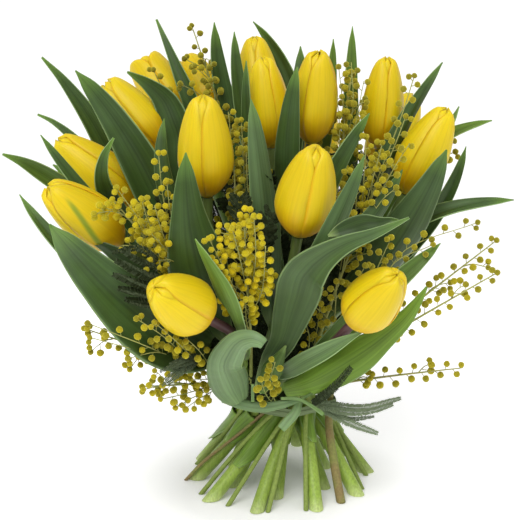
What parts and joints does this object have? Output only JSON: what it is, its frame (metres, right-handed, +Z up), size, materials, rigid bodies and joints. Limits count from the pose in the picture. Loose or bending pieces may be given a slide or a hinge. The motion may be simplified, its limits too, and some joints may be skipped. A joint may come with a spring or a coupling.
{
  "type": "bunch of tulips",
  "caption": "Hand-tied spiral bunch of closed yellow tulips with their leaves and mimosa sprays, standing on its splayed cut stem ends.",
  "frame": {"origin": "centre of the flat cut end of the middle tulip's stem, on the surface the bunch stands on", "axes": "+Z up, +X to the right as the picture shows the bunch, front of the bunch towards -Y"},
  "size_m": [0.321, 0.2496, 0.3009],
  "materials": {
    "tulip_petal": "smooth waxy yellow petal, fabric standing in for petal",
    "tulip_leaf": "blue-green leaf with a soft bloom and light green stem, fabric standing in for leaf",
    "mimosa_flower": "thin twigs with fluffy mustard yellow flower balls, wood standing in for twig and flower",
    "raffia": "matt plant fibre"
  },
  "bodies": {
    "root": {"bloom_01": "tulip_petal", "bloom_02": "tulip_petal", "bloom_03": "tulip_petal", "bloom_04": "tulip_petal", "bloom_05": "tulip_petal", "bloom_06": "tulip_petal", "bloom_07": "tulip_petal", "bloom_08": "tulip_petal", "bloom_09": "tulip_petal", "bloom_10": "tulip_petal", "bloom_11": "tulip_petal", "bloom_12": "tulip_petal", "bloom_13": "tulip_petal", "bloom_14": "tulip_petal", "bloom_15": "tulip_petal", "bloom_16": "tulip_petal", "bloom_17": "tulip_petal", "leafy_stem_01": "tulip_leaf", "leafy_stem_02": "tulip_leaf", "leafy_stem_03": "tulip_leaf", "leafy_stem_04": "tulip_leaf", "leafy_stem_05": "tulip_leaf", "leafy_stem_06": "tulip_leaf", "leafy_stem_07": "tulip_leaf", "leafy_stem_08": "tulip_leaf", "leafy_stem_09": "tulip_leaf", "leafy_stem_10": "tulip_leaf", "leafy_stem_11": "tulip_leaf", "leafy_stem_12": "tulip_leaf", "leafy_stem_13": "tulip_leaf", "leafy_stem_14": "tulip_leaf", "leafy_stem_15": "tulip_leaf", "leafy_stem_16": "tulip_leaf", "leafy_stem_17": "tulip_leaf", "mimosa_01": "mimosa_flower", "mimosa_02": "mimosa_flower", "mimosa_03": "mimosa_flower", "mimosa_04": "mimosa_flower", "mimosa_05": "mimosa_flower", "mimosa_06": "mimosa_flower", "mimosa_07": "mimosa_flower", "mimosa_08": "mimosa_flower", "mimosa_09": "mimosa_flower", "mimosa_10": "mimosa_flower", "mimosa_11": "mimosa_flower", "mimosa_12": "mimosa_flower", "mimosa_13": "mimosa_flower", "mimosa_14": "mimosa_flower", "tie_band": "raffia"}
  },
  "joints": []
}
